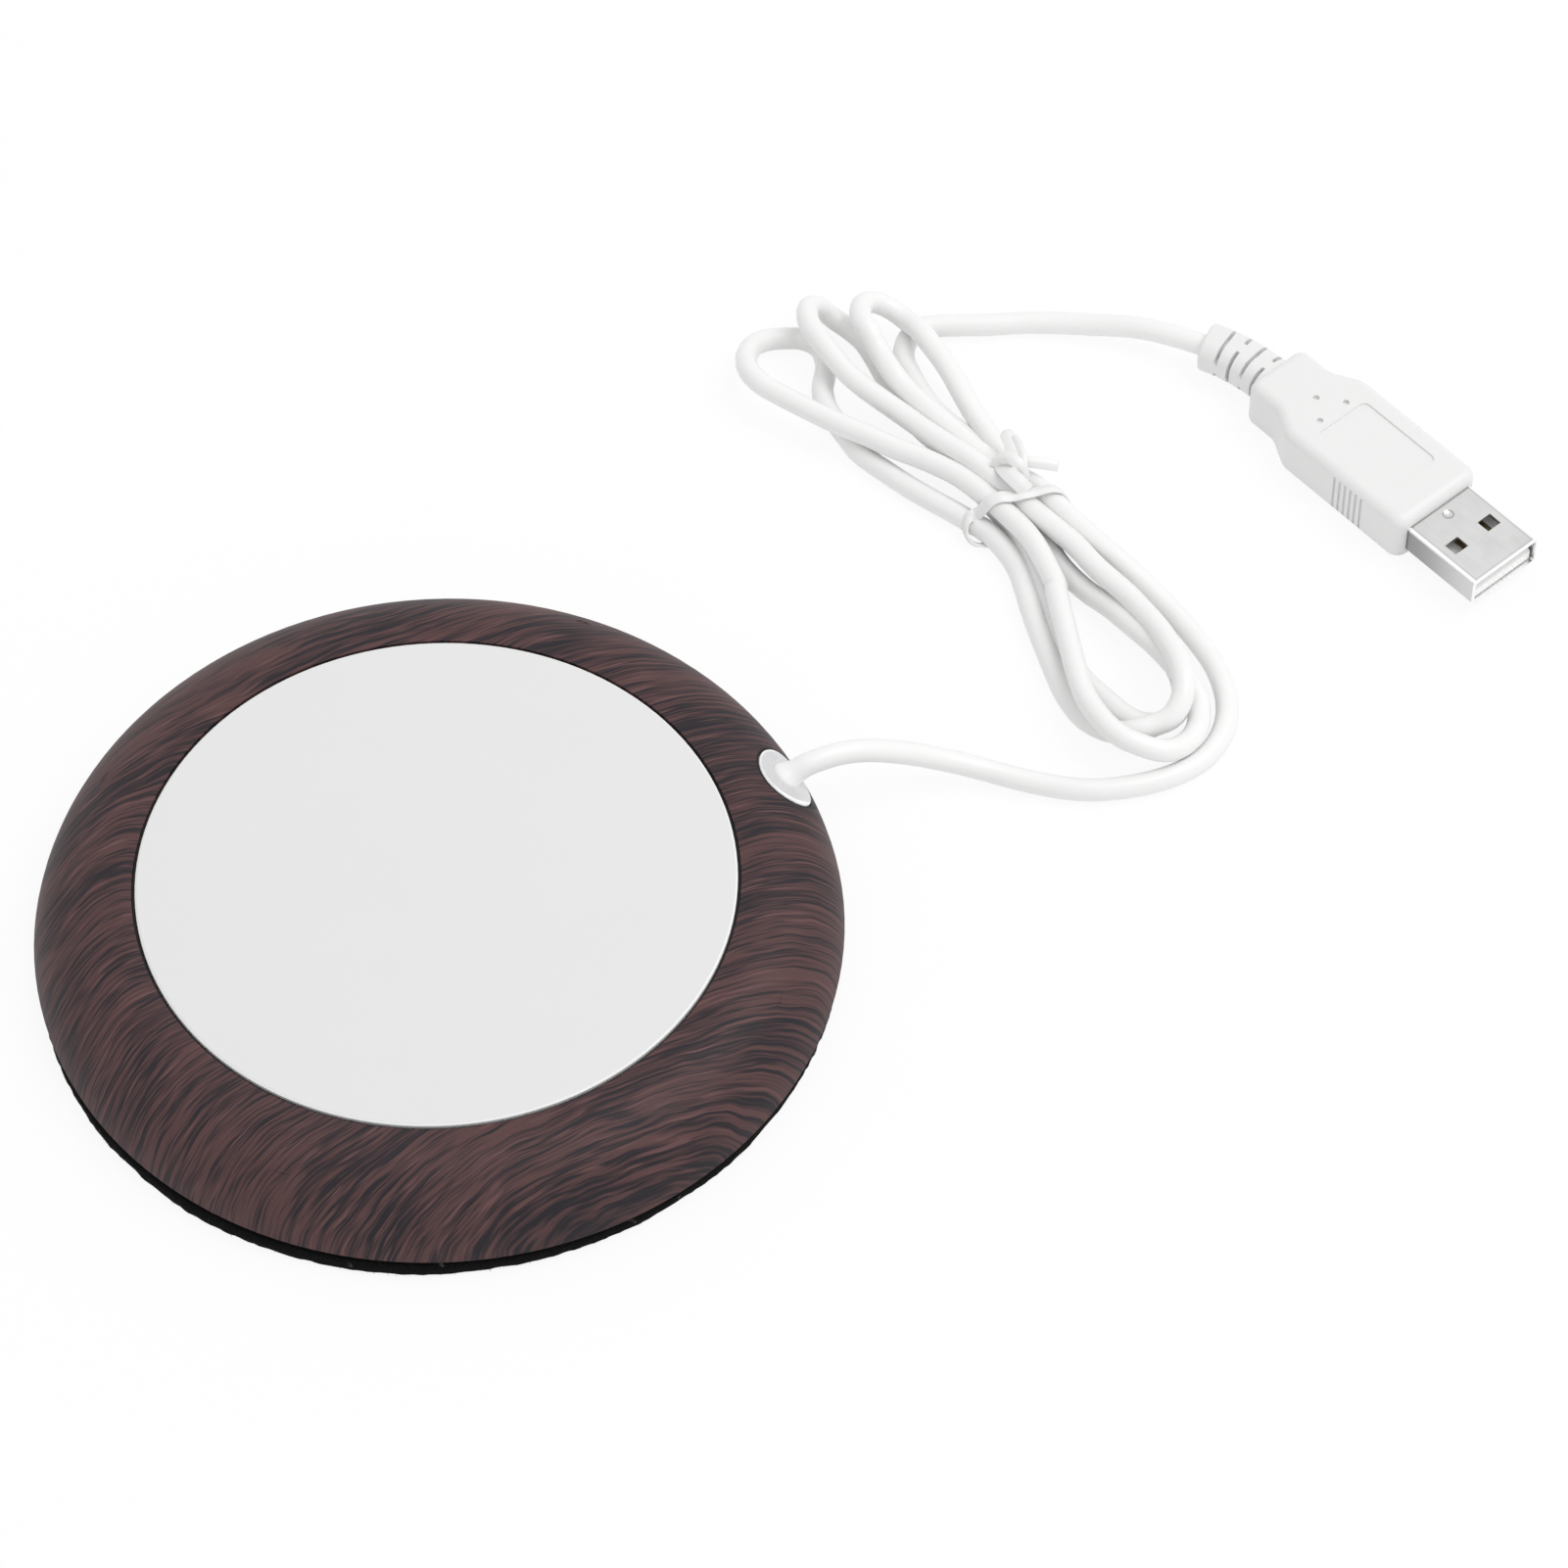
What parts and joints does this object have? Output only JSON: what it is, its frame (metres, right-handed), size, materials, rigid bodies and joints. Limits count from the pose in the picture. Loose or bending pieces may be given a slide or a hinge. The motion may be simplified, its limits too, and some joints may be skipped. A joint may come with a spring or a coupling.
{
  "type": "electric mug warmer",
  "caption": "Low round warming plate in a dark wood-look crown ring, with a felt foot pad and a tied white cord that ends in a USB plug.",
  "frame": {"origin": "on the table, under the middle of the ring", "axes": "+Z up, +Y the way the cord leaves the ring, +X to the right of the cord's exit seen from above with +Y up"},
  "size_m": [0.1355, 0.2117, 0.0132],
  "materials": {
    "crown_wood": "satin, wood-look print",
    "plate_coat": "fine matt, bright turned edge",
    "seal_rubber": "matt",
    "base_plastic": "fine texture",
    "foot_felt": "pressed felt",
    "screw_steel": "zinc plated",
    "heater_polyimide": "amber film",
    "heater_foil": "etched foil",
    "insulation_fibre": "ceramic fibre felt",
    "cutout_case": "moulded",
    "board_green": "solder mask",
    "lamp_case": "clear resin in a white case",
    "resistor_body": "glazed",
    "grommet_clear": "translucent, polished",
    "cord_pvc": "soft satin PVC",
    "clamp_plastic": "moulded nylon",
    "wire_red_pvc": "smooth",
    "wire_black_pvc": "smooth",
    "lead_sleeve": "smooth",
    "tie_plastic": "thin plastic over a wire core",
    "plug_pvc": "soft satin PVC",
    "premould_plastic": "moulded",
    "shell_steel": "nickel plated, rounded edges",
    "tongue_plastic": "moulded",
    "contact_gold": "plated"
  },
  "bodies": {
    "root": {"top_shell": "crown_wood", "base_cover": "base_plastic", "foot_pad": "foot_felt", "base_screws": "screw_steel", "warming_plate": "plate_coat", "plate_seal": "seal_rubber", "heater_film": "heater_polyimide", "heater_track": "heater_foil", "insulation_pad": "insulation_fibre", "thermal_cutout": "cutout_case", "led_board": "board_green", "led": "lamp_case", "led_resistor": "resistor_body", "cord_grommet": "grommet_clear", "cord_tail": "cord_pvc", "cord_clamp": "clamp_plastic", "clamp_screws": "screw_steel", "wire_red": "wire_red_pvc", "wire_black": "wire_black_pvc", "heater_leads": "lead_sleeve", "power_cord": "cord_pvc", "cord_hank": "cord_pvc", "twist_tie": "tie_plastic", "plug_cord": "cord_pvc", "plug_overmould": "plug_pvc", "plug_premould": "premould_plastic", "plug_shell": "shell_steel", "plug_tongue": "tongue_plastic", "plug_contacts": "contact_gold"}
  },
  "joints": []
}
